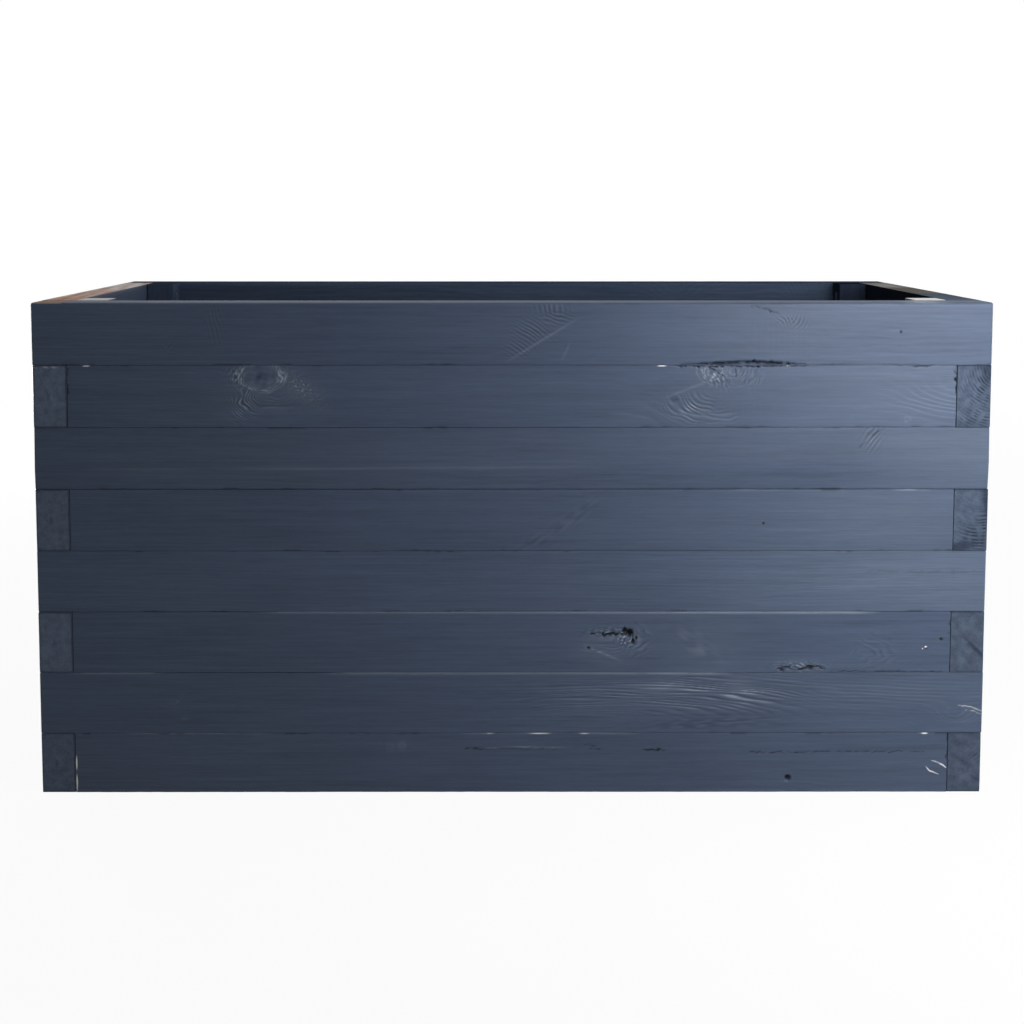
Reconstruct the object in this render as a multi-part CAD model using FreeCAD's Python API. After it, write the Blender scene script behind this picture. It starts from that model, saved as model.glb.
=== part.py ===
# A long wooden planter. Its walls are stacked courses of planed boards that interlock at the corners:
# in one course the long boards pass and the end boards butt between them, in the next it is the other way
# round. Four posts stand in the inner corners, and every board is screwed to them from the inside, so no
# screw shows outside. Two bearers along the long walls carry a floor of slats with drainage gaps.
#
# Millimetres. +X along the length, +Y to the back, +Z up, origin at the middle of the underside.

import FreeCAD, Part
import math
import os

# Walls
LENGTH = 1000.0  # outside, along X
DEPTH = 400.0  # outside, along Y
COURSES = 8  # boards on top of each other in each wall
BOARD_THICKNESS = 36.0
BOARD_HEIGHT = 65.0
BED_JOINT = 0.5  # hairline between one course and the next
BUTT_JOINT = 0.5  # hairline between a board's end and the board that passes it
BOARD_ARRIS = 0.8  # sharp edges taken off along a board
CORNER_EASE = 2.0  # and more off the planter's upright outer corners

# Corner posts
POST_SECTION = 34.0  # square
POST_LIFT = 6.0  # the posts stop short of the ground and the walls carry the weight
POST_ARRIS = 1.5
SEAT_GAP = 0.3  # between pieces that are screwed face to face

# Floor
BEARER_WIDTH = 34.0
BEARER_HEIGHT = 34.0
BEARER_LIFT = 14.0  # the floor stays clear of wet ground
BEARER_ARRIS = 1.5
BEARER_SCREWS = 5  # along each bearer
BEARER_SCREW_INSET = 60.0  # from a bearer's end to its first screw
SLAT_WIDTH = 95.0
SLAT_THICKNESS = 18.0
SLAT_ARRIS = 1.5
DRAIN_GAP = 8.0  # least gap between two slats
FLOOR_CLEARANCE = 2.0  # floor to walls and posts, room for the wood to swell

# Countersunk wood screws, eight-sided and without thread
SCREW_SIDES = 8
HEAD_RADIUS = 4.75
SHANK_RADIUS = 2.4
TIP_COVER = 10.0  # wood left between a screw's tip and a wall's outside
SLAT_SCREW_BITE = 16.0  # how far a slat screw goes into the bearer
HEAD_RECESS = 0.3  # heads sit just under the surface
HOLE_FIT = 0.1  # all round a screw in its hole

# Places that follow from the sizes above
PITCH = BOARD_HEIGHT + BED_JOINT
HEIGHT = COURSES * PITCH - BED_JOINT
INNER_X = LENGTH / 2 - BOARD_THICKNESS
INNER_Y = DEPTH / 2 - BOARD_THICKNESS
POST_X = INNER_X - SEAT_GAP - POST_SECTION / 2
POST_Y = INNER_Y - SEAT_GAP - POST_SECTION / 2
BEARER_Y = INNER_Y - SEAT_GAP - BEARER_WIDTH / 2
BEARER_END = POST_X - POST_SECTION / 2 - SEAT_GAP
SLAT_BOTTOM = BEARER_LIFT + BEARER_HEIGHT + SEAT_GAP
WALL_BITE = BOARD_THICKNESS - TIP_COVER

AXES = {"X": FreeCAD.Vector(1, 0, 0), "Y": FreeCAD.Vector(0, 1, 0), "Z": FreeCAD.Vector(0, 0, 1)}
SIDES = {"left": -1, "right": 1}
FACES = {"front": -1, "back": 1}


def edges_along(shape, axis):
    """The edges of a shape that run along one axis."""
    return [e for e in shape.Edges if abs(e.tangentAt(e.FirstParameter).dot(AXES[axis])) > 0.5]


def sawn(low, high):
    """A square-edged stick of timber from corner to corner."""
    size = [b - a for a, b in zip(low, high)]
    return Part.makeBox(*size, FreeCAD.Vector(*low))


def planed(stick, along, arris):
    """The stick with the sharp edges along its grain taken off."""
    return stick.makeChamfer(arris, edges_along(stick, along))


def ring(radius, z):
    """The corners of a regular outline round the Z axis whose flats lie at the given radius."""
    corner = radius / math.cos(math.pi / SCREW_SIDES)
    turns = [2 * math.pi * i / SCREW_SIDES for i in range(SCREW_SIDES)]
    return [FreeCAD.Vector(corner * math.cos(a), corner * math.sin(a), z) for a in turns]


def flat_sided(outline):
    """A solid round the Z axis with flat sides, from the radii and heights of its outline, top to tip."""
    rings = [ring(radius, z) for radius, z in outline]
    sides = [rings[0], rings[-1]]
    for upper, lower in zip(rings, rings[1:]):
        for i in range(SCREW_SIDES):
            sides.append([upper[i - 1], upper[i], lower[i], lower[i - 1]])
    faces = [Part.Face(Part.makePolygon(corners + corners[:1])) for corners in sides]
    solid = Part.Solid(Part.Shell(faces))
    return solid if solid.Volume > 0 else solid.reversed()


def screw(held, bite):
    """A countersunk screw down +Z, head just under z = 0, through a held piece and bite into the next."""
    head_end = HEAD_RECESS + HEAD_RADIUS - SHANK_RADIUS
    tip = held + SEAT_GAP + bite
    return flat_sided([(HEAD_RADIUS, HEAD_RECESS), (SHANK_RADIUS, head_end), (SHANK_RADIUS, tip)])


def screw_hole(held, bite):
    """The hole for that screw, wider all round, with its countersink carried on up to z = 0."""
    mouth = HEAD_RADIUS + HEAD_RECESS + HOLE_FIT
    shank = SHANK_RADIUS + HOLE_FIT
    tip = held + SEAT_GAP + bite + HOLE_FIT
    return flat_sided([(mouth, 0), (shank, mouth - shank), (shank, tip)])


def aimed(shape, start, way):
    """A copy of a shape made along +Z, moved to start and turned to point along way."""
    turn = FreeCAD.Rotation(AXES["Z"], FreeCAD.Vector(*way))
    turned = shape.copy()
    turned.Placement = FreeCAD.Placement(FreeCAD.Vector(*start), turn)
    return turned


class Fixings:
    """The screws of one kind, and the holes that they need in the pieces that they join."""

    def __init__(self, held, bite):
        self.screw = screw(held, bite)
        self.hole = screw_hole(held, bite)
        self.screws = []

    def drive(self, start, way, *names):
        """Puts in one screw whose head is at start, and drills the named pieces for it."""
        self.screws.append(aimed(self.screw, start, way))
        for name in names:
            holes.setdefault(name, []).append(aimed(self.hole, start, way))


parts = {}
holes = {}


def wall_board(low, high, along, passes):
    """One board of a course. Where it passes its corners, its upright outer edges are eased as well."""
    board = sawn(low, high)
    if passes:
        uprights = edges_along(board, "Z")
        uprights.sort(key=lambda e: math.hypot(e.CenterOfMass.x, e.CenterOfMass.y))
        board = board.makeChamfer(CORNER_EASE, uprights[-2:])
    return planed(board, along, BOARD_ARRIS)


def add_course(number):
    """One course of four boards. The long boards pass the corners in even courses, the end boards in odd."""
    bottom = (number - 1) * PITCH
    top = bottom + BOARD_HEIGHT
    long_pass = number % 2 == 0
    reach_x = LENGTH / 2 if long_pass else INNER_X - BUTT_JOINT
    reach_y = INNER_Y - BUTT_JOINT if long_pass else DEPTH / 2
    for face, sign in FACES.items():
        near, far = sorted((sign * INNER_Y, sign * DEPTH / 2))
        board = wall_board((-reach_x, near, bottom), (reach_x, far, top), "X", long_pass)
        parts[f"{face}_board_{number}"] = board
    for side, sign in SIDES.items():
        near, far = sorted((sign * INNER_X, sign * LENGTH / 2))
        board = wall_board((near, -reach_y, bottom), (far, reach_y, top), "Y", not long_pass)
        parts[f"{side}_board_{number}"] = board


def add_corner(face, side):
    """One corner post and two screws for each course, one into the long board, one into the end board."""
    x, y = SIDES[side] * POST_X, FACES[face] * POST_Y
    half = POST_SECTION / 2
    name = f"corner_post_{face}_{side}"
    post = sawn((x - half, y - half, POST_LIFT), (x + half, y + half, HEIGHT))
    parts[name] = planed(post, "Z", POST_ARRIS)
    fixings = Fixings(POST_SECTION, WALL_BITE)
    for number in range(1, COURSES + 1):
        bottom = (number - 1) * PITCH
        low, high = bottom + BOARD_HEIGHT / 4, bottom + BOARD_HEIGHT * 3 / 4
        to_face = (0, FACES[face], 0)
        to_side = (SIDES[side], 0, 0)
        fixings.drive((x, y - FACES[face] * half, low), to_face, name, f"{face}_board_{number}")
        fixings.drive((x - SIDES[side] * half, y, high), to_side, name, f"{side}_board_{number}")
    parts[f"post_screws_{face}_{side}"] = Part.makeCompound(fixings.screws)


def add_bearers():
    """Two sticks along the long walls, screwed to the lowest boards, that carry the floor."""
    fixings = Fixings(BEARER_WIDTH, WALL_BITE)
    first = BEARER_END - BEARER_SCREW_INSET
    step = 2 * first / (BEARER_SCREWS - 1)
    half = BEARER_WIDTH / 2
    for face, sign in FACES.items():
        y = sign * BEARER_Y
        low = (-BEARER_END, y - half, BEARER_LIFT)
        high = (BEARER_END, y + half, BEARER_LIFT + BEARER_HEIGHT)
        name = f"floor_bearer_{face}"
        parts[name] = planed(sawn(low, high), "X", BEARER_ARRIS)
        for i in range(BEARER_SCREWS):
            start = (i * step - first, y - sign * half, BEARER_LIFT + BEARER_HEIGHT / 4)
            fixings.drive(start, (0, sign, 0), name, f"{face}_board_1")
    parts["bearer_screws"] = Part.makeCompound(fixings.screws)


def add_floor():
    """Slats across the planter with drainage gaps. The two at the ends are notched round the posts."""
    reach_x = INNER_X - FLOOR_CLEARANCE
    reach_y = INNER_Y - FLOOR_CLEARANCE
    count = math.floor((2 * reach_x + DRAIN_GAP) / (SLAT_WIDTH + DRAIN_GAP))
    pitch = (2 * reach_x - SLAT_WIDTH) / (count - 1)
    top = SLAT_BOTTOM + SLAT_THICKNESS
    notch = POST_SECTION + 2 * FLOOR_CLEARANCE
    fixings = Fixings(SLAT_THICKNESS, SLAT_SCREW_BITE)
    for i in range(count):
        left = i * pitch - reach_x
        right = left + SLAT_WIDTH
        name = f"floor_slat_{i + 1}"
        slat = planed(sawn((left, -reach_y, SLAT_BOTTOM), (right, reach_y, top)), "Y", SLAT_ARRIS)
        for x in (-POST_X, POST_X):
            for y in (-POST_Y, POST_Y):
                corner = FreeCAD.Vector(x - notch / 2, y - notch / 2, SLAT_BOTTOM)
                slat = slat.cut(Part.makeBox(notch, notch, SLAT_THICKNESS, corner))
        parts[name] = slat
        seat_left = max(left, notch / 2 - POST_X)
        seat_right = min(right, POST_X - notch / 2)
        middle = (seat_left + seat_right) / 2
        for face, sign in FACES.items():
            fixings.drive((middle, sign * BEARER_Y, top), (0, 0, -1), name, f"floor_bearer_{face}")
    parts["slat_screws"] = Part.makeCompound(fixings.screws)


for number in range(1, COURSES + 1):
    add_course(number)
for face in FACES:
    for side in SIDES:
        add_corner(face, side)
add_bearers()
add_floor()

os.makedirs("parts", exist_ok=True)
for name, shape in parts.items():
    if name in holes:
        shape = shape.cut(Part.makeCompound(holes[name]))
    shape.exportStep(f"parts/{name}.step")
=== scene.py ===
import bpy
import numpy as np
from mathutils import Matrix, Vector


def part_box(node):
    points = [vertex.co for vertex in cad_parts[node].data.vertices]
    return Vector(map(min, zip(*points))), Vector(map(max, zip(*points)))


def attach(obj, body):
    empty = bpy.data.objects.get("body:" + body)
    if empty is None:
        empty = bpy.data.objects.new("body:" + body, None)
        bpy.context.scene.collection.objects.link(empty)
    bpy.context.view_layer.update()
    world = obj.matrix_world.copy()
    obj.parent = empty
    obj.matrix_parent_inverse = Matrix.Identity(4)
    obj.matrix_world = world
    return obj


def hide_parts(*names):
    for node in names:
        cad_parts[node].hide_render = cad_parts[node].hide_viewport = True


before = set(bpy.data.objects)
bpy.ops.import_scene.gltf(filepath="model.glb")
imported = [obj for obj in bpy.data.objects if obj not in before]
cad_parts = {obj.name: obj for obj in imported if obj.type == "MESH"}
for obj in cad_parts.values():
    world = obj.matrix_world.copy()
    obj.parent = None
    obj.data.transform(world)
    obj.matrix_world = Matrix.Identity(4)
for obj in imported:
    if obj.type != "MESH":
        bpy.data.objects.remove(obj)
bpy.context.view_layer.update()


# Front wall boards
# Eight planed softwood boards lie on edge on top of each other and are brushed with a blue-grey satin paint.
# Every second board runs through to the outer corners, the others stop between the ends of the end boards.

MM = 0.001
TURN = 2 * np.pi
CORNER_ARC = np.radians([22.5, 45.0, 67.5])
END_ARC = np.radians([0.0, 30.0, 60.0, 90.0])


def held(value):
    """A value kept between 0 and 1."""
    return np.clip(value, 0, 1)


def spaced(low, high, step, zones=()):
    """Places from low to high about one step apart, and closer in zones of (start, end, step): the wanted
    density is summed up along the line and read back at equal shares."""
    line = np.linspace(low, high, 4001)
    density = np.full(line.shape, 1 / step)
    for start, end, fine in zones:
        inside = 0.5 * (np.tanh((line - start) / 4) - np.tanh((line - end) / 4))
        density = np.maximum(density, inside / fine)
    share = np.concatenate([[0], np.cumsum((density[1:] + density[:-1]) / 2)]) * (line[1] - line[0])
    count = max(2, round(share[-1]))
    return np.interp(np.linspace(0, share[-1], count + 1), share, line)


def waver(rng, s, u, along, across, terms=9):
    """A smooth random field of about unit height: a sum of sines that run in random directions, with
    wavelengths near along and across."""
    total = np.zeros(np.broadcast(s, u).shape)
    for _ in range(terms):
        way = rng.uniform(0, TURN)
        pace = TURN * rng.uniform(0.5, 1.5) * np.array((np.cos(way) / along, np.sin(way) / across))
        total += np.sin(pace[0] * s + pace[1] * u + rng.uniform(0, TURN))
    return total * np.sqrt(2 / terms)


def hump(s, u, place, reach):
    """A round hill of height 1 at the place, falling off over the reach: exp of minus the squared distance."""
    return np.exp(-(((s - place[0]) / reach[0]) ** 2) - ((u - place[1]) / reach[1]) ** 2)


def apart(s, u, place, reach):
    """Distance from a place, counted in reaches: the root of the squared shares."""
    return np.hypot((s - place[0]) / reach[0], (u - place[1]) / reach[1])


def ring_number(wood, s, u, o):
    """How many growth rings lie between the pith and a point: its distance from a pith line that drifts and
    wavers along the log, over the ring spacing, plus a hill of rings round each knot or swelling."""
    rng = np.random.default_rng(wood["seed"])
    pith_u = wood["pith"][0] + wood["drift"][0] * s / 1000 + 2.0 * waver(rng, s, 0.0, 420, 1)
    pith_o = wood["pith"][1] + wood["drift"][1] * s / 1000 + 2.0 * waver(rng, s, 0.0, 330, 1)
    number = np.hypot(u - pith_u, o - pith_o) / wood["spacing"]
    number = number + 0.10 * waver(rng, s, u, 60, 11) + 0.06 * waver(rng, u, o, 24, 24)
    for place, reach, lift in wood["swells"]:
        number = number + lift * hump(s, u, place, reach)
    return number


def ring_crest(number):
    """Height across one ring, 0 to 1: a slow rise through the soft early wood, then a steep fall."""
    part = number - np.floor(number)
    rise = held(part / 0.78)
    fall = held((1 - part) / 0.22)
    return rise * rise * (3 - 2 * rise) * fall * fall * (3 - 2 * fall)


def along_line(s, u, points):
    """Distance from a bent line through the points, and the share of its length at the nearest place: each
    straight run gives a distance, and the least one counts."""
    best = np.full(s.shape, 1e9)
    share = np.zeros(s.shape)
    runs = len(points) - 1
    for i in range(runs):
        (s0, u0), (s1, u1) = points[i], points[i + 1]
        run = np.hypot(s1 - s0, u1 - u0)
        part = held(((s - s0) * (s1 - s0) + (u - u0) * (u1 - u0)) / run**2)
        away = np.hypot(s - s0 - part * (s1 - s0), u - u0 - part * (u1 - u0))
        share = np.where(away < best, (i + part) / runs, share)
        best = np.minimum(best, away)
    return best, share


def turned_axes(s, u, place, angle):
    """Places along and across a line through a place at an angle in degrees."""
    a = np.radians(angle)
    return ((s - place[0]) * np.cos(a) + (u - place[1]) * np.sin(a),
            (u - place[1]) * np.cos(a) - (s - place[0]) * np.sin(a))


def eased(s, across, half, reach, radius):
    """Rounds the corner where a board's end meets a face: a place in the square at the corner is drawn in to
    the quarter disc, by the greater of its two shares of the square over their root sum of squares."""
    e = held(1 - (half - np.abs(s)) / radius)
    f = held(1 - (reach - across) / radius)
    both = (e > 0) & (f > 0)
    pull = np.maximum(e, f) / np.maximum(np.hypot(e, f), 1e-9)
    return (np.where(both, np.sign(s) * (half - radius * (1 - e * pull)), s),
            np.where(both, reach - radius * (1 - f * pull), across))


def closed_faces(rows, columns):
    """Faces of a grid that is closed round its columns: a four-sided one between each pair of rows and columns,
    and a fan at each end to a pole, which come after the grid's points."""
    i, j = np.arange(rows - 1)[:, None] * columns, np.arange(columns)
    k = (j + 1) % columns
    quads = np.stack([i + j, i + columns + j, i + columns + k, i + k], axis=-1).reshape(-1, 4)
    first, last, end = rows * columns, rows * columns + 1, (rows - 1) * columns
    fans = np.concatenate([np.stack([first + 0 * j, j, k], axis=-1),
                           np.stack([last + 0 * j, end + k, end + j], axis=-1)])
    return quads, fans


def stick_grid(length, width, thickness, arris, end_round, stations, outer, inner, bed, cap_rings):
    """A rounded rectangle carried along a straight path and closed at both ends. Rows go from the middle of
    one end outwards, along the stick and in to the middle of the other end. Columns go up the outer face,
    over the upper bed, down the inner face and back under the lower bed."""
    flat_u, flat_o = width / 2 - arris, thickness / 2 - arris
    sides = [(outer, thickness / 2 + 0 * outer), (width / 2 + 0 * bed, bed),
             (inner, -thickness / 2 + 0 * inner), (-width / 2 + 0 * bed, -bed)]
    corners = [(flat_u, flat_o), (flat_u, -flat_o), (-flat_u, -flat_o), (-flat_u, flat_o)]
    u, o, facing = [], [], []
    for i in range(4):
        start = np.pi / 2 - i * np.pi / 2
        turned = start - CORNER_ARC
        u += [sides[i][0], corners[i][0] + arris * np.cos(turned)]
        o += [sides[i][1], corners[i][1] + arris * np.sin(turned)]
        facing += [np.full(len(sides[i][0]), start), turned]
    u, o, facing = np.concatenate(u), np.concatenate(o), np.concatenate(facing)
    nu, no = np.cos(facing), np.sin(facing)

    half = length / 2
    cap = np.linspace(0, 1, cap_rings + 1)[1:-1]
    cap = cap * (1.4 - 0.4 * cap)
    flat, body = np.ones(len(cap)), np.ones(len(stations))
    edge_s = end_round * (1 - np.cos(END_ARC))
    edge_in = end_round * (1 - np.sin(END_ARC))
    row_s = np.concatenate([-half * flat, edge_s - half, stations, half - edge_s[::-1], half * flat])
    row_in = np.concatenate([end_round * flat, edge_in, 0 * body, edge_in[::-1], end_round * flat])
    row_size = np.concatenate([cap, np.ones(4), body, np.ones(4), cap[::-1]])
    row_end = np.concatenate([-flat, -np.cos(END_ARC), 0 * body, np.cos(END_ARC)[::-1], flat])
    row_side = np.concatenate([0 * flat, np.sin(END_ARC), body, np.sin(END_ARC)[::-1], 0 * flat])
    grid = {
        "s": row_s[:, None] + 0 * u,
        "u": row_size[:, None] * (u - row_in[:, None] * nu),
        "o": row_size[:, None] * (o - row_in[:, None] * no),
        "ns": row_end[:, None] + 0 * u,
        "nu": row_side[:, None] * nu,
        "no": row_side[:, None] * no,
    }
    return grid, *closed_faces(len(row_s), len(u))


def with_poles(field, first=0, last=0):
    """A grid's values as one line, followed by the values at the middles of the two ends."""
    return np.concatenate([field.ravel(), [first, last]])


def placed(name, data):
    """A new object in the scene, at the origin."""
    made = bpy.data.objects.new(name, data)
    bpy.context.scene.collection.objects.link(made)
    return made


def wood_mesh(name, points, quads, fans, values):
    """A closed mesh from points in metres, four-sided and three-sided faces, and named values at its points."""
    mesh = bpy.data.meshes.new(name)
    corners = np.concatenate([quads.ravel(), fans.ravel()]).astype(np.int32)
    starts = np.concatenate([np.arange(len(quads)) * 4, len(quads) * 4 + np.arange(len(fans)) * 3])
    mesh.vertices.add(len(points))
    mesh.vertices.foreach_set("co", points.astype(np.float32).ravel())
    mesh.loops.add(len(corners))
    mesh.loops.foreach_set("vertex_index", corners)
    mesh.polygons.add(len(starts))
    mesh.polygons.foreach_set("loop_start", starts.astype(np.int32))
    mesh.update(calc_edges=True)
    mesh.polygons.foreach_set("use_smooth", np.ones(len(starts), dtype=bool))
    for key, value in values.items():
        if value.ndim == 2:
            mesh.attributes.new(key, "FLOAT_VECTOR", "POINT").data.foreach_set("vector", value.ravel())
        else:
            mesh.attributes.new(key, "FLOAT", "POINT").data.foreach_set("value", value)
    mesh.validate()
    return placed(name, mesh)


RUB_AND_LIGHT = 1.6  # how fast raised wood loses its paint and takes a painted highlight, and hollows take a painted shade
PALE_END = 0.92  # share of pale fresh wood on a sawn top
AXES = {
    "front": ((1, 0, 0), (0, 0, 1), (0, -1, 0)),
    "back": ((-1, 0, 0), (0, 0, 1), (0, 1, 0)),
    "left": ((0, -1, 0), (0, 0, 1), (-1, 0, 0)),
    "right": ((0, 1, 0), (0, 0, 1), (1, 0, 0)),
}


def surface_marks(wood, width, grid, depth, rub_and_painted_light, crack_and_shade, chalk_and_glare):
    """Adds what the saw, the branches and the weather left on the outer face, and painted light and shade: rippled
    fields are wave packets under a hill, whorls are nested rings round a place, fuzz is drawn-out noise, ridges
    fall off on both sides of a line, checks follow bent lines, lips are parabolas along an edge, pits and chips are
    round hills.
    Depths are in millimetres. Where the marks stand up the paint is made paler, partly as paint rubbed thin and
    partly as a painted highlight, and in their hollows it is made darker as painted shade. Lips get a painted
    highlight along the edge, cracks and pits are painted near black as painted shade, and the broad stains are
    painted light and shade."""
    s, u = grid["s"], grid["u"]
    face = held(grid["no"])
    rng = np.random.default_rng(wood["seed"] + 11)
    for place, reach, angle, wave, height, bend in wood["ripples"]:
        x, y = turned_axes(s, u, place, angle)
        beat = 0.5 + 0.5 * np.sin(TURN * (x + bend * y * y) / wave + 0.7 * waver(rng, s, u, 18, 18))
        hill = face * hump(s, u, place, reach)
        depth += height * (1 - beat) * hill
        # crests paler, partly paint rubbed thin and partly a painted highlight; troughs darker as painted shade
        rub_and_painted_light += RUB_AND_LIGHT * height * (1.4 * beat**2 - 0.5) * hill
    for place, radius, wave, height, spot, reach in wood["whorls"]:
        far = apart(s, u, place, radius) * min(radius)
        uneven = 0.30 * waver(rng, far, 0.0, 4.5 * abs(wave), 1)
        uneven = uneven + 0.20 * waver(rng, s, u, 0.6 * radius[0], 0.6 * radius[1])
        line = ring_crest(uneven - far / wave)
        hill = face * np.exp(-(apart(s, u, spot, reach) ** 3))
        hill = hill * np.clip(0.8 + 0.4 * waver(rng, s, u, 0.5 * radius[0], 0.4 * radius[1]), 0.2, 1.2)
        depth += height * (1 - line) * hill
        # ring crests paler, partly paint rubbed thin and partly a painted highlight; between them darker as painted
        # shade
        rub_and_painted_light += RUB_AND_LIGHT * height * (1.4 * line - 0.5) * hill
    for place, reach, angle, size, height in wood["fuzz"]:
        x, y = turned_axes(s, u, place, angle)
        tuft = face * hump(x, y, (0, 0), reach) * np.clip(waver(rng, x, y, *size, 16), -0.7, 1.6)
        depth -= height * tuft
        # paler and darker flecks: paint rubbed thin, painted highlight and painted shade
        rub_and_painted_light += RUB_AND_LIGHT * height * tuft
    for start, end, height, above, below in wood["ridges"]:
        run = np.hypot(end[0] - start[0], end[1] - start[1])
        x, away = turned_axes(s, u, start, np.degrees(np.arctan2(end[1] - start[1], end[0] - start[0])))
        fade = face * held(3 * x / run + 0.3) * held(3.3 - 3 * x / run)
        slope = (np.sqrt(away**2 + 0.8) - 0.9) / np.where(away > 0, above, below)
        depth -= height * fade * np.exp(-np.clip(slope, 0, None))
        # a pale line along the ridge: paint rubbed thin and a painted highlight
        rub_and_painted_light += RUB_AND_LIGHT * height * fade * np.exp(-((away / 1.3) ** 2))
    for place, radius, rim, sink in wood["knots"]:
        far = apart(s, u, place, radius)
        size = min(radius)
        outside = (far - 1) * size + 0.8 * waver(rng, s, u, 16, 16)
        bearing = np.arctan2((s - place[0]) / radius[0], (place[1] - u) / radius[1])
        speck = waver(rng, size * bearing, outside, 9.0, 2.6, 16)
        wall = min(3.2, 0.4 * size)
        strand = 0.6 + 0.4 * np.sin(TURN * outside / 2.3 + 1.2 * speck)
        beside = 0.6 + 0.4 * held(np.abs(s - place[0]) / radius[0]) ** 2
        crown = (outside + 0.6 * wall) / wall
        raised = face * beside * np.exp(-(crown**2)) * np.clip(0.75 + 0.5 * speck, 0.1, 1.6) * strand
        depth -= rim * raised
        # pale on the raised rim round the knot, partly paint rubbed thin and partly a painted highlight, and
        # mottled lighter and darker over the knot
        rub_and_painted_light += rim * (RUB_AND_LIGHT * raised + 0.25 * face * np.exp(-((crown / 1.8) ** 2)))
        depth += face * 0.6 * rim * np.exp(-(((outside - 0.9 * wall) / (0.5 * wall)) ** 2))
        depth += face * sink * held(1 - far) ** 0.7
        rub_and_painted_light += face * 0.25 * rim * held(1.2 - far) * waver(rng, s, u, 12, 7)
    for points, wide, deep, dark in wood["checks"]:
        stray = (0.7 if dark > 0 else 0.2) * waver(rng, s, u, 9, 9)
        away, share = along_line(s + stray, u + stray * np.sin(s / 3), points)
        thin = wide * (0.25 + 0.75 * np.sin(np.pi * np.clip(share, 0.02, 0.98)) ** 0.6)
        cut = np.exp(-((away / thin) ** 2))
        broken = np.clip(1.15 + (0.7 if dark > 0 else 0.3) * waver(rng, s, u, 13, 30), 0.15, 1) * face
        depth += deep * cut * broken
        # dark checks are painted near black as the painted shade of a crack; pale ones are drawn in pale filler
        filled = crack_and_shade if dark > 0 else chalk_and_glare
        filled[:] = np.maximum(filled, abs(dark) * held(cut * 1.2) * broken)
    for edge, start, end, wide, deep in wood["lips"]:
        near = np.clip(1 - (width / 2 - edge * u) / wide, 0, None)
        along = held((s - start) / 25) * held((end - s) / 25)
        depth += face * deep * along * near**2
        # a pale line along the rounded edge: a painted highlight, with paint rubbed thin
        rub_and_painted_light += 0.9 * along * near
    for place, radius, deep in wood["pits"]:
        hole = np.exp(-(apart(s, u, place, radius) ** 4))
        depth += face * deep * hole
        # pits are painted near black: painted shade
        crack_and_shade[:] = np.maximum(crack_and_shade, face * hole)
    for place, radius in wood["chips"]:
        spot = np.exp(-(apart(s, u, place, radius) ** 4))
        depth += face * 0.15 * spot
        chalk_and_glare[:] = np.maximum(chalk_and_glare, spot * held(face * 3))
    end = held(grid["ns"] * wood["shown_end"])
    for place, reach, angle, value in wood["stains"]:
        # broad stains brighten or darken whole stretches of a board as painted light and shade; small ones are
        # paler and darker marks
        rub_and_painted_light += face * value * hump(*turned_axes(s, u, place, angle), (0, 0), reach)
    for place, reach, angle, value in wood["end_stains"]:
        rub_and_painted_light += end * value * hump(*turned_axes(grid["o"], u, place, angle), (0, 0), reach)
    for place, radius in wood["end_chips"]:
        chalk_and_glare[:] = np.maximum(chalk_and_glare, end * hump(grid["o"], u, place, radius))
    for place, across, normal, sign, radius, deep in wood["dimples"]:
        toward = held(sign * grid[normal])
        far = np.hypot(s - place, grid["o" if normal == "nu" else "u"] - across)
        depth += toward * deep * held((radius - far) / 0.9 + 0.5)


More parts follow.
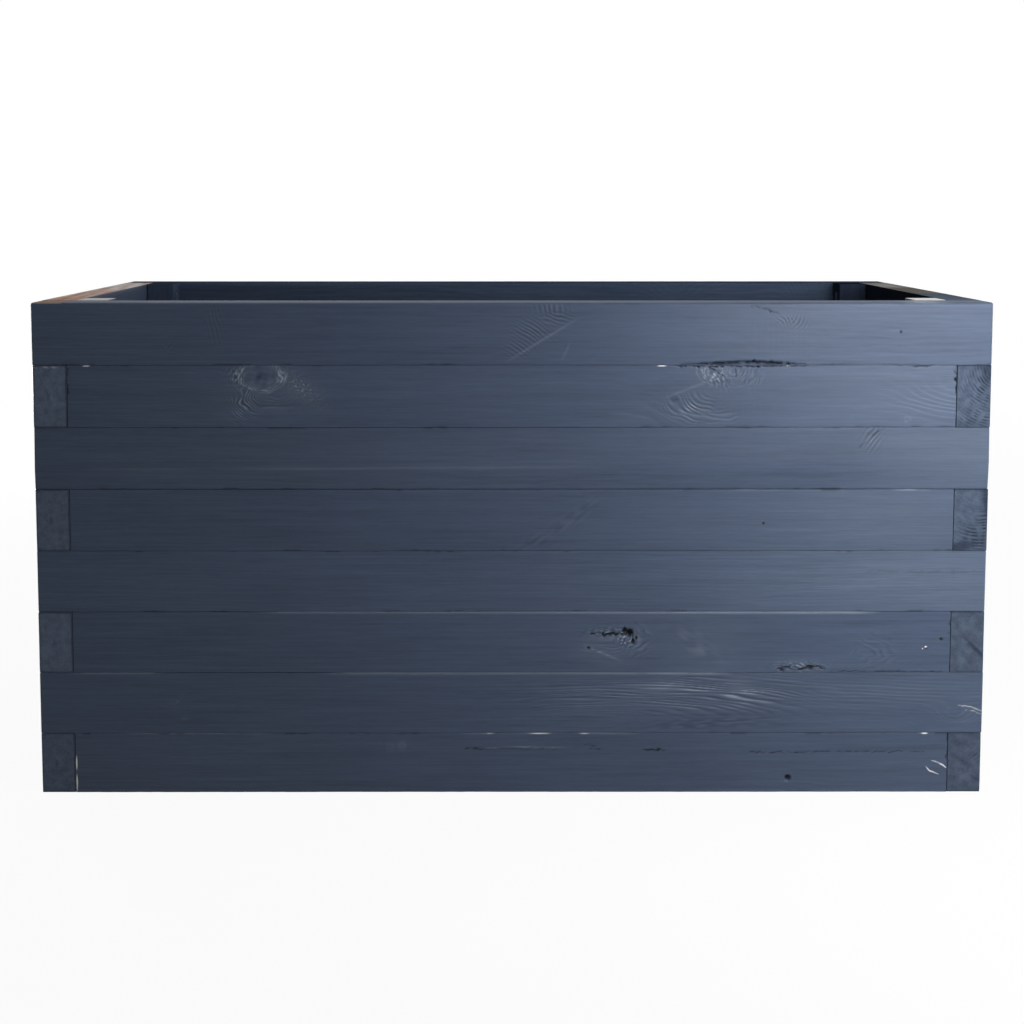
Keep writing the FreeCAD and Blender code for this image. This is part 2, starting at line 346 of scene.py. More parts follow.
def planed_board(node, side, wood, fineness):
    """One board or stick in the box of its node. Its surface is the rounded stick with the outer side let in a
    little by bow, lean and wear, and the rest along its normals by ring relief and marks, so that it never
    stands out of the box. Fineness is the step along and up the outer face in millimetres, then the number of
    steps down the inner face, across a bed and in from an end."""
    along_step, up_step, inner_steps, bed_steps, cap_rings = fineness
    low, high = (np.array(corner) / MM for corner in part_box(node))
    axes = np.array(AXES[side], dtype=float)
    low[2] -= wood["bed"]
    low -= np.abs(axes[0]) * wood["butt"]
    high += np.abs(axes[0]) * wood["butt"]
    length, width, thickness = np.abs(axes @ (high - low))
    rng = np.random.default_rng(wood["seed"] + 7)
    arris = wood["arris"]
    end_round = wood["end_round"]
    zones = list(wood["zones"])
    if "ease" in wood:
        zones += [(-length / 2 - 9, 3 - length / 2, 0.5), (length / 2 - 3, length / 2 + 9, 0.5)]
    stations = spaced(end_round - length / 2, length / 2 - end_round, along_step, zones)[1:-1]
    stations = np.sort(np.append(stations, (length / 2 - end_round - 0.3) * np.array((-1, 1))))
    outer = spaced(arris - width / 2, width / 2 - arris, up_step, wood["bands"])
    outer = np.sort(np.append(outer, (width / 2 - arris - 0.25) * np.array((-1, 1))))
    if "notch" in wood:
        stations = np.sort(np.append(stations, np.outer((-1, 1), wood["notch"][1] + np.array((-0.01, 0.01)))))
    inner = (width / 2 - arris) * np.linspace(1, -1, inner_steps + 1)
    bed = np.linspace(1, -1, bed_steps + 1)
    bed = (thickness / 2 - arris) * (np.sin(bed * np.pi / 2) if "brow" in wood else bed)
    grid, quads, fans = stick_grid(length, width, thickness, arris, end_round, stations, outer, inner, bed,
                                   cap_rings)
    if "ease" in wood:
        grid["s"], grid["o"] = eased(grid["s"], grid["o"], length / 2, thickness / 2, wood["ease"])
    if "brow" in wood:
        grid["o"], grid["u"] = eased(grid["o"], grid["u"], thickness / 2, width / 2, wood["brow"])
    if "foot" in wood:
        grid["s"], upward = eased(grid["s"], wood["foot"] * grid["u"], length / 2, width / 2, wood["ease"])
        grid["u"] = wood["foot"] * upward
    s, u, o = grid["s"], grid["u"], grid["o"]
    if "notch" in wood:
        notched, start, cut = wood["notch"]
        u -= (np.abs(s) > start) * notched * cut * held(0.5 + notched * u / (width - 2 * arris))
    end = np.abs(grid["ns"])
    shown = held(grid["ns"] * wood["shown_end"])
    face = held(grid["no"])

    number = ring_number(wood, s, u, o)
    jump = np.abs(np.gradient(number, axis=0))
    jump = np.maximum(jump, np.abs(number - np.roll(number, 1, axis=1)))
    resolved = np.where(end > 0.5, wood["fine_ends"], held(2.2 - 5 * jump))
    figure = np.full(s.shape, wood["figure"])
    for place, reach, height in wood["figured"]:
        figure += face * height * hump(s, u, place, reach)
    figure += end * wood["end_figure"]
    for place, reach, height in wood["end_figured"]:
        figure += shown * height * hump(o, u, place, reach)
    figure = np.maximum(figure * (1 - end * np.clip(0.35 - 0.5 * waver(rng, u, o, 11, 11), 0, 0.9)), 0)
    relief = figure * (1 - ring_crest(number))

    lift = wood["inset"] + wood["lean"] * u / width + wood["cup"] * (2 * u / width) ** 2
    if "crown" in wood:
        ridge_u, upper, lower = wood["crown"]
        ridge = ridge_u[0] + (ridge_u[1] - ridge_u[0]) * (s / length + 0.5)
        rise = u - ridge
        lift = lift + np.where(rise > 0, upper, lower) * (np.sqrt(rise**2 + 9) - 3) / width
    lift = lift + 0.10 * (1 + waver(rng, s, 0.0, 520, 1, 5)) + 0.03 * waver(rng, s, u, 90, 35)
    near = np.exp(-(width / 2 - np.abs(u)) / 0.9)
    worn = waver(rng, s, np.sign(u) * 40, 60, 60) + 0.6 * waver(rng, s, np.sign(u) * 40, 14, 60)
    lift = lift + near * wood["edge"] * np.clip(0.5 + 0.8 * worn, 0, 2)
    o -= np.maximum(lift, 0) * held(0.5 + o / (thickness - 2 * arris))
    depth = (1 - face) * (0.12 + end * wood["end_inset"]) + resolved * relief
    chatter = np.sin(TURN * s / 6.3 + 1.5 * waver(rng, s, 0.0, 90, 1))
    depth += 0.012 * waver(rng, s, u + o, 17, 9) + 0.018 * face * chatter * held(waver(rng, s, u, 160, 60))
    # dark along worn joint edges and round sawn ends; the same value paints cracks and pits near black as painted
    # shade
    crack_and_shade = near * (face * held(worn - 1.1) * wood["gap"] + 0.55 * end)
    rub_and_painted_light, chalk_and_glare = np.zeros(s.shape), np.zeros(s.shape)
    surface_marks(wood, width, grid, depth, rub_and_painted_light, crack_and_shade, chalk_and_glare)
    depth = np.clip(depth, 0.0, None)

    moved = np.stack([with_poles(s - grid["ns"] * depth, -length / 2, length / 2),
                      with_poles(u - grid["nu"] * depth), with_poles(o - grid["no"] * depth)], axis=1)
    points = ((low + high) / 2 + moved @ axes) * MM
    shift = rng.uniform(0, 40, 3)
    grain = np.stack([with_poles(s, -length / 2, length / 2), with_poles(u), with_poles(o)], axis=1)
    middle = ring_number(wood, np.array([-length / 2, length / 2]), np.zeros(2), np.zeros(2))
    top, sawn = held(grid["nu"]), held(grid["ns"]) ** 2
    bare = np.maximum(top**2 * wood["top_bare"], sawn * wood["end_bare"])
    for start, finish, value in wood["top_worn"]:
        spread = held((s - start) / 12) * held((finish - s) / 12)
        bare = np.maximum(bare, top**2 * value * spread)
    # pale near white streaks on the rim tops: painted glare
    for start, finish, value in wood["top_painted_glare"]:
        streak = held(0.45 + 0.6 * waver(rng, s, o, 160, 7))
        spread = held((s - start) / 40) * held((finish - s) / 40)
        chalk_and_glare = np.maximum(chalk_and_glare, top**2 * value * spread * streak)
    rub_and_painted_light += top**2 * wood["top_rub"]
    bare_chalk = PALE_END * wood["end_bare"]
    chalk_and_glare = np.maximum(chalk_and_glare, sawn * bare_chalk)
    weathered = wood["weathered"]
    # inner faces darkened by the inner value: painted shade inside the box
    inside = held(-grid["no"]) * (1 - wood["inner_shade"])
    tone = wood["tone"] * (1 - inside) * (1 + shown * (wood["end_tone"] - 1))
    end_tones = wood["tone"] * np.where(np.array((-1, 1)) == wood["shown_end"], wood["end_tone"], 1)
    values = {
        "grain": grain * MM + shift,
        "ring": with_poles(number, *middle),
        "figure": with_poles(figure * (1 - 0.55 * resolved), 0.05, 0.05),
        "end_grain": with_poles(end, 1, 1),
        "bare": with_poles(bare, 0, wood["end_bare"]),
        "rub_and_painted_light": with_poles(rub_and_painted_light),
        "crack_and_shade": with_poles(crack_and_shade),
        "chalk_and_glare": with_poles(chalk_and_glare, 0, bare_chalk),
        "tone": with_poles(tone, *end_tones),
        "weathered": with_poles(np.maximum(top * wood["top_dull"], weathered), weathered, weathered),
    }
    piece = wood_mesh("planed_" + node, points, quads, fans, values)
    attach(piece, "root")
    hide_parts(node)
    return piece


def shader_node(tree, kind, inputs, **settings):
    """A shader node with its settings, and its inputs set to values or joined to other nodes' outputs."""
    made = tree.nodes.new(kind)
    for key, value in settings.items():
        setattr(made, key, value)
    for key, value in inputs.items():
        if isinstance(value, bpy.types.NodeSocket):
            tree.links.new(value, made.inputs[key])
        else:
            made.inputs[key].default_value = value
    return made


def reading(tree, name, output="Fac"):
    """The value that a mesh carries at its points under that name."""
    return shader_node(tree, "ShaderNodeAttribute", {}, attribute_name=name).outputs[output]


def maths(tree, operation, *values):
    """The result of one sum on numbers or outputs."""
    return shader_node(tree, "ShaderNodeMath", dict(enumerate(values)), operation=operation).outputs[0]


def summed(tree, start, *terms):
    """A start value plus each reading times its weight."""
    for value, weight in terms:
        start = maths(tree, "MULTIPLY_ADD", value, weight, start)
    return start


def limited(tree, value, top):
    """A value held between 0 and the top value."""
    return maths(tree, "MAXIMUM", maths(tree, "MINIMUM", value, top), 0.0)


def mixed(tree, share, first, second, blend="MIX"):
    """Two colours mixed by a share."""
    made = shader_node(tree, "ShaderNodeMix", {0: share, 6: first, 7: second}, data_type="RGBA", blend_type=blend)
    return made.outputs[2]


def grained(tree, grain, scale, detail=2.0, roughness=0.5):
    """Noise from 0 to 1 whose spots are drawn out along the grain: scale is spots per metre along, across
    and through the board."""
    place = shader_node(tree, "ShaderNodeMapping", {"Vector": grain, "Scale": scale}).outputs[0]
    inputs = {"Vector": place, "Scale": 1.0, "Detail": detail, "Roughness": roughness}
    return shader_node(tree, "ShaderNodeTexNoise", inputs).outputs[0]


def graded(tree, value, *stops):
    """A number read off a line of stops, each a place and a height."""
    ramp = shader_node(tree, "ShaderNodeValToRGB", {0: value})
    line = ramp.color_ramp.elements
    line[0].position, line[1].position = stops[0][0], stops[-1][0]
    for place, _ in stops[1:-1]:
        line.new(place)
    for element, (_, height) in zip(line, stops):
        element.color = (height, height, height, 1)
    return ramp.outputs[0]


def new_material(name):
    """An empty material and its node tree."""
    material = bpy.data.materials.new(name)
    material.use_nodes = True
    return material, material.node_tree


def surfaced(tree, colour, rough, height, gloss, strength=1.0, relief=MM):
    """Joins the colour, the roughness and a height that stands up by the relief to the material's shader."""
    bump = shader_node(tree, "ShaderNodeBump", {"Height": height, "Strength": strength, "Distance": relief})
    shader = tree.nodes["Principled BSDF"]
    for key, value in (("Base Color", colour), ("Roughness", rough), ("Normal", bump.outputs[0])):
        tree.links.new(value, shader.inputs[key])
    shader.inputs["Specular IOR Level"].default_value = gloss
    return shader


def wood_colour(tree, grain, crest, weathered, early, late, pale):
    """Bare softwood: early wood, darker late wood lines, paler patches, fibres along the grain, greyed by
    weather."""
    fibres = grained(tree, grain, (14, 900, 900), 3)
    patches = grained(tree, grain, (9, 70, 70), 3)
    fresh = mixed(tree, crest, early, late)
    fresh = mixed(tree, graded(tree, patches, (0.35, 0), (0.7, 0.8)), fresh, pale)
    grey = mixed(tree, crest, (0.19, 0.180, 0.165, 1), (0.105, 0.098, 0.088, 1))
    both = mixed(tree, weathered, fresh, grey)
    return mixed(tree, 0.35, both, mixed(tree, 1.0, both, graded(tree, fibres, (0.3, 0.3), (0.7, 1.6)), "MULTIPLY"))


def painted_wood(name, gloss):
    """Paint brushed along the grain. It follows the rings and is paler on the crests, partly as paint lying thinner
    and partly as a painted highlight, and darker in hollows as painted shade. It has sunk into the late wood of end
    grain, has worn off where the bare value is high, and is painted near black in cracks and pits as painted shade."""
    material, tree = new_material(name)
    grain = reading(tree, "grain", "Vector")
    figure = reading(tree, "figure")
    end_grain = reading(tree, "end_grain")
    weathered = reading(tree, "weathered")
    rub_and_painted_light = reading(tree, "rub_and_painted_light")
    crack_and_shade = reading(tree, "crack_and_shade")
    ring = maths(tree, "FRACT", reading(tree, "ring"))
    crest = graded(tree, ring, (0.0, 0), (0.5, 0.45), (0.8, 1), (1.0, 0))

    brush = grained(tree, grain, (9, 420, 420), 4, 0.6)
    fibre = grained(tree, grain, (40, 1600, 1600), 2)
    cloud = grained(tree, grain, (6, 22, 22), 3)
    dust = grained(tree, grain, (700, 700, 700), 2)

    # the coat, brushed thick and thin, and paler on crests and where the rub value is high: partly paint rubbed
    # thin, partly painted highlight and painted light
    colour = mixed(tree, graded(tree, cloud, (0.3, 0), (0.7, 1)), (0.0355, 0.0515, 0.0870, 1),
                   (0.0430, 0.0610, 0.1005, 1))
    colour = mixed(tree, graded(tree, brush, (0.3, 0), (0.75, 0.6)), colour, (0.0490, 0.0670, 0.1070, 1))
    lines = maths(tree, "MULTIPLY", crest, limited(tree, maths(tree, "MULTIPLY", figure, 2.5), 0.6))
    lines = maths(tree, "MULTIPLY", lines, maths(tree, "SUBTRACT", 1.0, end_grain))
    lines = limited(tree, maths(tree, "ADD", lines, rub_and_painted_light), 0.95)
    colour = mixed(tree, lines, colour, (0.102, 0.127, 0.168, 1))

    # end grain, dark where the paint has sunk in and along its late wood
    colour = mixed(tree, maths(tree, "MULTIPLY", end_grain, 0.6), colour, (0.038, 0.047, 0.062, 1))
    # darker where the rub value is below 0: dark spots in end grain, and painted shade in the hollows of the relief
    # and in broad patches
    sunk = limited(tree, maths(tree, "MULTIPLY", rub_and_painted_light, -1.6), 0.8)
    colour = mixed(tree, sunk, colour, (0.016, 0.022, 0.036, 1))
    mottle = graded(tree, grained(tree, grain, (130, 130, 130), 4), (0.3, 0.82), (0.7, 1.18))
    colour = mixed(tree, end_grain, colour, mixed(tree, 1.0, colour, mottle, "MULTIPLY"))
    late = graded(tree, ring, (0.3, 0), (0.7, 1), (0.9, 1), (1.0, 0))
    late = maths(tree, "MULTIPLY", late, limited(tree, maths(tree, "MULTIPLY", figure, 5.0), 0.85))
    colour = mixed(tree, maths(tree, "MULTIPLY", end_grain, late), colour, (0.010, 0.014, 0.021, 1))
    # near white where the rub value is highest: partly paint scuffed off, partly a painted glint on raised crests
    scuff_and_glint = graded(tree, maths(tree, "SUBTRACT", rub_and_painted_light, 0.55), (0.0, 0), (0.8, 0.75))
    colour = mixed(tree, scuff_and_glint, colour, (0.24, 0.28, 0.34, 1))

    # streaks along the grain, each about a mean of 1
    tone = reading(tree, "tone")
    streak = grained(tree, grain, (5, 110, 110), 3)
    strand = grained(tree, grain, (50, 620, 620), 2)
    for field, spread in ((streak, 0.34), (strand, 0.30), (brush, 0.30)):
        tone = maths(tree, "MULTIPLY", tone, maths(tree, "MULTIPLY_ADD", field, spread, 1 - spread / 2))
    colour = mixed(tree, 1.0, colour, tone, "MULTIPLY")

    # bare wood, pale chips, painted glare on the rim tops, and cracks and pits painted near black as painted shade
    worn = summed(tree, reading(tree, "bare"), (maths(tree, "SUBTRACT", brush, 0.5), 0.9))
    worn = graded(tree, worn, (0.42, 0), (0.62, 1))
    reddened = wood_colour(tree, grain, crest, weathered, (0.40, 0.205, 0.140, 1), (0.26, 0.108, 0.070, 1),
                           (0.50, 0.34, 0.27, 1))
    colour = mixed(tree, worn, colour, reddened)
    colour = mixed(tree, reading(tree, "chalk_and_glare"), colour, (0.72, 0.72, 0.71, 1))
    colour = mixed(tree, crack_and_shade, colour, (0.002, 0.003, 0.005, 1))

    rough = summed(tree, 0.34, (cloud, 0.14), (weathered, 0.30), (end_grain, 0.28), (worn, 0.30), (crack_and_shade, 0.30))
    height = summed(tree, maths(tree, "MULTIPLY", crest, figure), (brush, 0.030), (fibre, 0.014), (dust, 0.010))
    surfaced(tree, colour, rough, height, gloss)
    return material


PLAIN_BOARD = dict(
    arris=0.40, end_round=0.35, edge=0.16, gap=1.0, bed=0.0, butt=0.0, inner_shade=0.85, weathered=0.0,
    top_bare=0.0, top_dull=0.0, top_rub=0.0, shown_end=0, fine_ends=0.0, end_inset=0.0, end_figure=0.06,
    end_tone=1.0, end_bare=0.0)
MARKS = ("ripples", "whorls", "fuzz", "ridges", "checks", "lips", "pits", "chips", "stains", "dimples",
         "end_stains", "end_chips", "end_figured", "top_worn", "top_painted_glare", "zones", "bands")


def wood_from(seed, length, **marks):
    """A board's own tree, drawn at random from its seed, with any marks that are known put in its place."""
    rng = np.random.default_rng(seed)
    pith_far = rng.uniform(25, 90)
    bearing = rng.uniform(0, TURN)
    wood = {
        **PLAIN_BOARD,
        **dict.fromkeys(MARKS, ()),
        "seed": seed,
        "pith": (pith_far * np.cos(bearing), pith_far * np.sin(bearing)),
        "drift": tuple(rng.normal(0, 12, 2)),
        "spacing": rng.uniform(3.2, 4.8),
        "figure": rng.uniform(0.02, 0.05),
        "inset": rng.uniform(0.05, 0.4),
        "lean": rng.uniform(-0.15, 0.15),
        "cup": rng.uniform(0.0, 0.2),
        "tone": rng.uniform(0.95, 1.05),
        "swells": [],
        "knots": [],
        "figured": [],
    }
    for _ in range(rng.poisson(length / 420)):
        place = (rng.uniform(-0.44, 0.44) * length, rng.uniform(-26, 26))
        size = rng.uniform(3.5, 11)
        wood["knots"].append((place, (size * 1.3, size), rng.uniform(0.06, 0.22), rng.uniform(0.05, 0.3)))
        wood["swells"].append((place, (size * 3.4, size * 2.2), rng.uniform(3, 7)))
        wood["figured"].append((place, (size * 5, size * 3), rng.uniform(0.06, 0.14)))
    wood.update(marks)
    return wood


# Stains that reach 40 mm or more across a board brighten or darken whole stretches of it to follow the light:
# painted light and shade. Board 2's first two stains are painted highlights; the small stains are narrow paler and
# darker marks in the paint.
FRONT_MARKS = {
    8: dict(
        inset=0.45, lean=-0.1, cup=0.1, pith=(40, -60), drift=(8, -6), spacing=3.8, figure=0.02,
        figured=[((420, -5), (90, 30), 0.03)],
        ripples=[((6, -15), (11, 7), 58, 3.9, 0.36, 0.004), ((20, 3), (15, 10), 57, 3.7, 0.5, 0.004),
                 ((46, 16), (13, 7), 74, 4, 0.42, 0), ((40, 27), (16, 5), 12, 5, 0.28, 0),
                 ((-308, 10), (8, 18), 14, 4.2, 0.16, 0), ((-356, -14), (8, 5), 40, 5, 0.12, 0),
                 ((284, 14), (9, 5), 35, 3.6, 0.34, 0.02), ((298, 12), (9, 7), -30, 3.8, 0.3, 0.02)],
        ridges=[((-4, -28), (65, 14), 0.3, 1.6, 18), ((60, -10), (52, -27), 0.2, 2, 6)],
        checks=[([(249, 30), (262, 26), (277, 21)], 0.6, 0.6, 0.6),
                ([(176, -32.6), (205, -31.6), (236, -29.8), (262, -30), (306, -32.6)], 1.25, 5, 1)],
        top_worn=[(-515, -462, 0.95)], lips=[(1, 400, 462, 1.6, 0.2)],
        pits=[((404, 2), (1.2, 1.5), 0.6)],
        zones=[(-16, 74, 0.8), (245, 312, 0.9), (-320, -298, 1), (398, 410, 0.8)],
        bands=[(-32, 28, 0.9), (28, 32, 0.5)]),
    7: dict(
        inset=0.8, lean=0.06, cup=0.05, pith=(-30, -45), drift=(-6, 10), spacing=4, figure=0.02,
        knots=[((-262, 21), (24, 16.5), 0.62, 0.1), ((209, 27), (12, 9), 0.5, 0.15), ((231, 27), (5, 6), 0.25, 0.2),
               ((413, -25), (4, 3), 0.25, 0.1)],
        swells=[((-256, 14), (33, 38), 7), ((207, 4), (42, 34), 6), ((470, 4), (60, 26), 5)],
        figured=[((-350, -22), (60, 7), 0.16), ((130, -18), (34, 10), 0.14), ((445, -8), (40, 16), 0.18)],
        stains=[((-262, 6), (52, 30), 0, 0.14), ((-262, 24), (13, 7), 0, -0.1), ((-222, 10), (30, 12), -38, 0.32),
                ((206, 8), (46, 26), 0, 0.06), ((420, 0), (110, 60), 0, 0.16)],
        whorls=[((-258, -1), (34, 24), 2.9, 0.66, (-280, -9), (12, 17)),
                ((-248, 22), (40, 30), 4.4, 0.24, (-250, -8), (20, 10)),
                ((216, 16), (44, 38), 4.6, 0.62, (187, -9), (24, 10)),
                ((216, 16), (52, 32), 4.2, 0.34, (196, -22), (40, 8)),
                ((226, 34), (20, 20), 3.6, 0.3, (247, 20), (16, 11))],
        fuzz=[((-219, 10), (26, 9), -40, (6, 3.2), 0.22), ((-288, 22), (9, 9), 70, (9, 2.7), 0.34),
              ((213, 20), (14, 8), -35, (7, 3), 0.36)],
        ridges=[((158, -2), (210, 18), 0.22, 7, 1.6)],
        checks=[([(170, 32.4), (205, 32), (240, 31.8), (270, 32.2), (306, 32.4)], 0.7, 4, 1),
                ([(203, 31), (210, 28), (219, 22)], 0.8, 0.9, 0.9),
                ([(231, 31), (233, 25), (233, 20)], 0.7, 0.8, 0.7),
                ([(416, 32), (428, 32), (437, 32)], 1, 1.6, 0.8),
                ([(463.4, 32), (463.4, 18), (463.4, 3)], 0.9, 1, 1),
                ([(-463.4, 32), (-463.4, 16), (-463.4, 2)], 0.6, 0.8, 0.8)],
        chips=[((156, 32), (4, 0.7)), ((286, 32), (3, 0.6)), ((-478, 32), (3, 0.7)), ((-443, 32), (3, 0.7))],
        zones=[(-300, -205, 0.76), (150, 262, 0.85), (404, 425, 1.2), (461, 464, 0.6), (-464, -461, 0.6)],
        bands=[(-32, 32, 0.82)]),
    6: dict(
        inset=0.35, lean=0, cup=0, crown=((-12, -2), 2.4, 4), pith=(20, -30), drift=(18, -10), spacing=4.4,
        figure=0.02, figured=[((200, 15), (300, 12), 0.02), ((430, -14), (80, 12), 0.06)],
        stains=[((490, 0), (150, 60), 0, 0.26), ((-150, 0), (280, 60), 0, 0.08)],
        ridges=[((-440, -11), (-330, -11.5), 0.2, 1.2, 5), ((-300, -11), (80, -9), 0.26, 1.2, 6)],
        ripples=[((377, 22), (8, 12), -38, 4.4, 0.45, 0)],
        checks=[([(364, 12), (371, 18), (378, 25), (389, 32)], 0.9, 0.5, 0.5)],
        zones=[(355, 396, 0.9)], bands=[(8, 32, 0.9)]),
    5: dict(
        inset=0.6, lean=-0.05, cup=0.12, pith=(30, 60), drift=(-8, 4), spacing=3.9, figure=0.02,
        stains=[((385, 0), (150, 60), 0, 0.24)],
        figured=[((350, 0), (150, 30), 0.03)], pits=[((264, -3.5), (1.5, 1.3), 0.7)], zones=[(258, 270, 0.9)],
        fuzz=[((64, 2), (32, 7), 40, (26, 7), 0.1), ((24, -24), (20, 7), 35, (22, 7), 0.1)],
        lips=[(1, 230, 260, 1.8, 0.6), (1, 395, 440, 1.8, 0.6)]),
    4: dict(
        inset=1.05, lean=-0.1, cup=0.05, pith=(100, 20), drift=(4, 8), spacing=3.7, figure=0.025,
        stains=[((420, 0), (170, 60), 0, 0.28)],
        figured=[((330, 5), (220, 28), 0.05)], checks=[([(372, 10.5), (430, 10), (498, 10)], 0.8, 0.15, 0.25)]),
    3: dict(
        inset=0.6, lean=0.1, cup=0.05, pith=(-40, -35), drift=(16, 12), spacing=4.3, figure=0.02,
        edge=0.08, gap=0.3,
        knots=[((81, -6), (4, 3), 0.3, 0.3)],
        figured=[((372, -10), (48, 18), 0.04), ((90, -14), (28, 10), 0.06)],
        whorls=[((100, 6), (34, 18), 3.2, 0.36, (134, 2), (12, 16)),
                ((100, 8), (40, 16), 3.4, 0.2, (100, -8), (26, 10)),
                ((352, -12), (44, 17), 4.2, 0.13, (384, -10), (24, 18))],
        fuzz=[((196, -2), (26, 10), -32, (30, 9), 0.16), ((104, 11), (22, 5), 0, (7, 2.8), 0.4),
              ((305, -26), (26, 5), 0, (7, 3), 0.45), ((120, 4), (9, 10), 60, (6, 3), 0.45)],
        ridges=[((84, -7), (116, -20), 0.3, 3, 6)],
        checks=[([(84, 9.5), (98, 8), (112, 9), (124, 8)], 1.3, 2.2, 1),
                ([(116, 13), (124, 9), (131, 5), (124, -6)], 1.2, 2.2, 1),
                ([(280, -29), (292, -27), (304, -30), (318, -26), (331, -29)], 1.2, 2, 1),
                ([(331, -32), (400, -32.3), (458, -32.3)], 0.8, 1, 0.7),
                ([(463.4, 26), (463.4, 12), (463.4, -1)], 0.8, 1, 1),
                ([(463.4, -22), (463.4, -27), (463.4, -32)], 0.7, 1, 1)],
        pits=[((124, 10), (4, 4.4), 4), ((119, 13), (2.2, 3), 3), ((128, 1), (1.6, 3), 2.5),
              ((81, -6), (1.6, 1.4), 1),
              ((316, -28), (3, 1.8), 2), ((286, -30), (2.6, 1.4), 2), ((454, 3), (1.9, 1.7), 1.2),
              ((438.5, -6.8), (0.9, 0.8), 0.5)],
        chips=[((438, -5), (1.2, 0.7)), ((434.5, -7), (0.6, 0.5))],
        stains=[((95, -14), (26, 12), -25, 0.1), ((124, 4), (22, 20), 0, 0.08), ((102, 4), (20, 3), 0, 0.3),
                ((306, -23), (26, 4), 0, 0.25), ((196, -2), (30, 6), -30, 0.1),
                ((205, 0), (45, 40), 0, 0.15)],
        lips=[(1, -270, 390, 2.6, 1.3)],
        zones=[(72, 146, 0.75), (274, 336, 0.9), (345, 410, 1.3), (430, 458, 0.9), (461, 464, 0.6)],
        bands=[(-22, 18, 0.75), (-32, -22, 0.8), (29.5, 32, 0.5)]),
    2: dict(
        inset=0.25, lean=0.05, cup=0.05, pith=(-75, -8), drift=(2, 6), spacing=3.9, figure=0.02, gap=0.5,
        knots=[((-358, 1.6), (3.5, 3), 0.25, 0.2), ((-347, -18), (3, 2.6), 0.25, 0.2)],
        swells=[((-358, 1), (14, 9), 3), ((470, -16), (24, 12), 4)],
        figured=[((400, 10), (120, 20), 0.18), ((485, -14), (16, 10), 0.2), ((-354, -8), (12, 16), 0.08),
                 ((80, 0), (80, 26), 0.1)],
        whorls=[((95, -24), (150, 24), -2.9, 0.56, (205, 10), (110, 20)),
                ((95, -24), (150, 24), -2.9, 0.3, (80, 6), (60, 20))],
        stains=[((160, 17), (24, 9), 4, 0.28), ((243, 16), (20, 10), -28, 0.28), ((200, 6), (90, 18), -4, 0.06),
                ((190, -22), (60, 8), 4, -0.08), ((420, 14), (80, 14), 0, 0.08)],
        fuzz=[((215, -22), (70, 6), 3, (26, 4), 0.12)],
        checks=[([(474, -3), (486, -4), (499, -9)], 0.4, 0.2, -0.42),
                ([(482, -8), (491, -9), (499, -13)], 0.3, 0.2, -0.36)],
        lips=[(1, -475, -360, 2, 1), (1, -200, 235, 2.6, 1.3)],
        zones=[(40, 340, 1.5), (470, 499, 0.9)], bands=[(-30, 29, 0.75), (29, 32, 0.5)]),
    1: dict(
        inset=0.65, lean=-0.05, cup=0.08, pith=(60, -50), drift=(10, 6), spacing=4.2, figure=0.02,
        figured=[((300, -5), (140, 24), 0.04)],
        checks=[([(-49, 15), (-20, 14.5), (10, 15.5), (52, 15)], 0.6, 0.5, 0.45),
                ([(-51, 15), (-42, 15.3), (-32, 15)], 0.9, 1.2, 0.95),
                ([(76, 18.6), (80, 18.9), (87, 18)], 0.8, 1.2, 0.95),
                ([(82, 14.6), (88, 15), (95, 14.2)], 0.8, 1.2, 0.95),
                ([(140, 14), (150, 14), (162, 13.5)], 0.8, 1.2, 0.95),
                ([(463.4, 31), (463.4, 26), (463.4, 21)], 0.7, 1, 1),
                ([(463.4, 17), (463.4, 6), (463.4, -4)], 0.7, 1, 1),
                ([(254, 12), (300, 11), (350, 12), (400, 11.5), (440, 12)], 0.6, 0.7, 0.75),
                ([(447, 2), (455, 0), (463, -6)], 0.6, 0.3, -0.9),
                ([(441, -4), (445, -9), (455, -13)], 0.5, 0.3, -0.8)],
        stains=[((-360, 0), (110, 60), 0, 0.1), ((190, 0), (60, 60), 0, -0.06),
                ((220, -31.5), (300, 2), 0, 0.22), ((-21.5, 15.8), (7, 1), 0, 0.6),
                ((11.5, 17), (20, 1.1), 0, 0.85), ((45.5, 16.3), (11, 1), 0, 0.6),
                ((-129.5, 17), (4, 4.2), 0, 0.36), ((-129.5, 17), (1.8, 2.2), 0, -0.34),
                ((-116.5, 19), (4.4, 4.6), 0, 0.52), ((-116.5, 19), (1.8, 1.8), 0, -0.4)],
        pits=[((294, -17), (3.1, 3), 3.5)],
        chips=[((439, 31.8), (3, 0.8)), ((-462.8, 0), (0.9, 7)), ((-462.8, -22), (0.9, 9)),
               ((30, 32.1), (10, 0.5)), ((-22, 32.1), (5, 0.3)), ((78, 32.1), (5, 0.3))],
        lips=[(1, -430, -245, 2, 0.9), (1, -60, 0, 2, 0.9), (1, -10, 60, 2, 0.9), (1, 60, 140, 2, 0.8)],
        zones=[(-138, -104, 1), (286, 302, 0.8), (438, 466, 0.5), (-468, -458, 0.5)],
        bands=[(8, 24, 1), (13, 19, 0.6), (-16, 4, 0.5), (-22, -16, 1), (29.5, 32, 0.6)]),
}

SATIN = 0.17
paint = painted_wood("painted_wood_satin", SATIN)
CORNER_EASE = 2.0  # radius of the outer corners
BED_FILL = 0.4  # how far a board reaches into the joint below it
BUTT_FILL = 0.3  # and into the joints at its ends
RIM = dict(foot=1, brow=3.2, top_dull=0.6)  # the top board's long edge is rounded
RIM_COURSE = max(FRONT_MARKS)
FRONT_FINENESS = (3.0, 1.35, 16, 7, 13)
FRONT_RIM_FINENESS = (3.0, 1.35, 16, 24, 13)


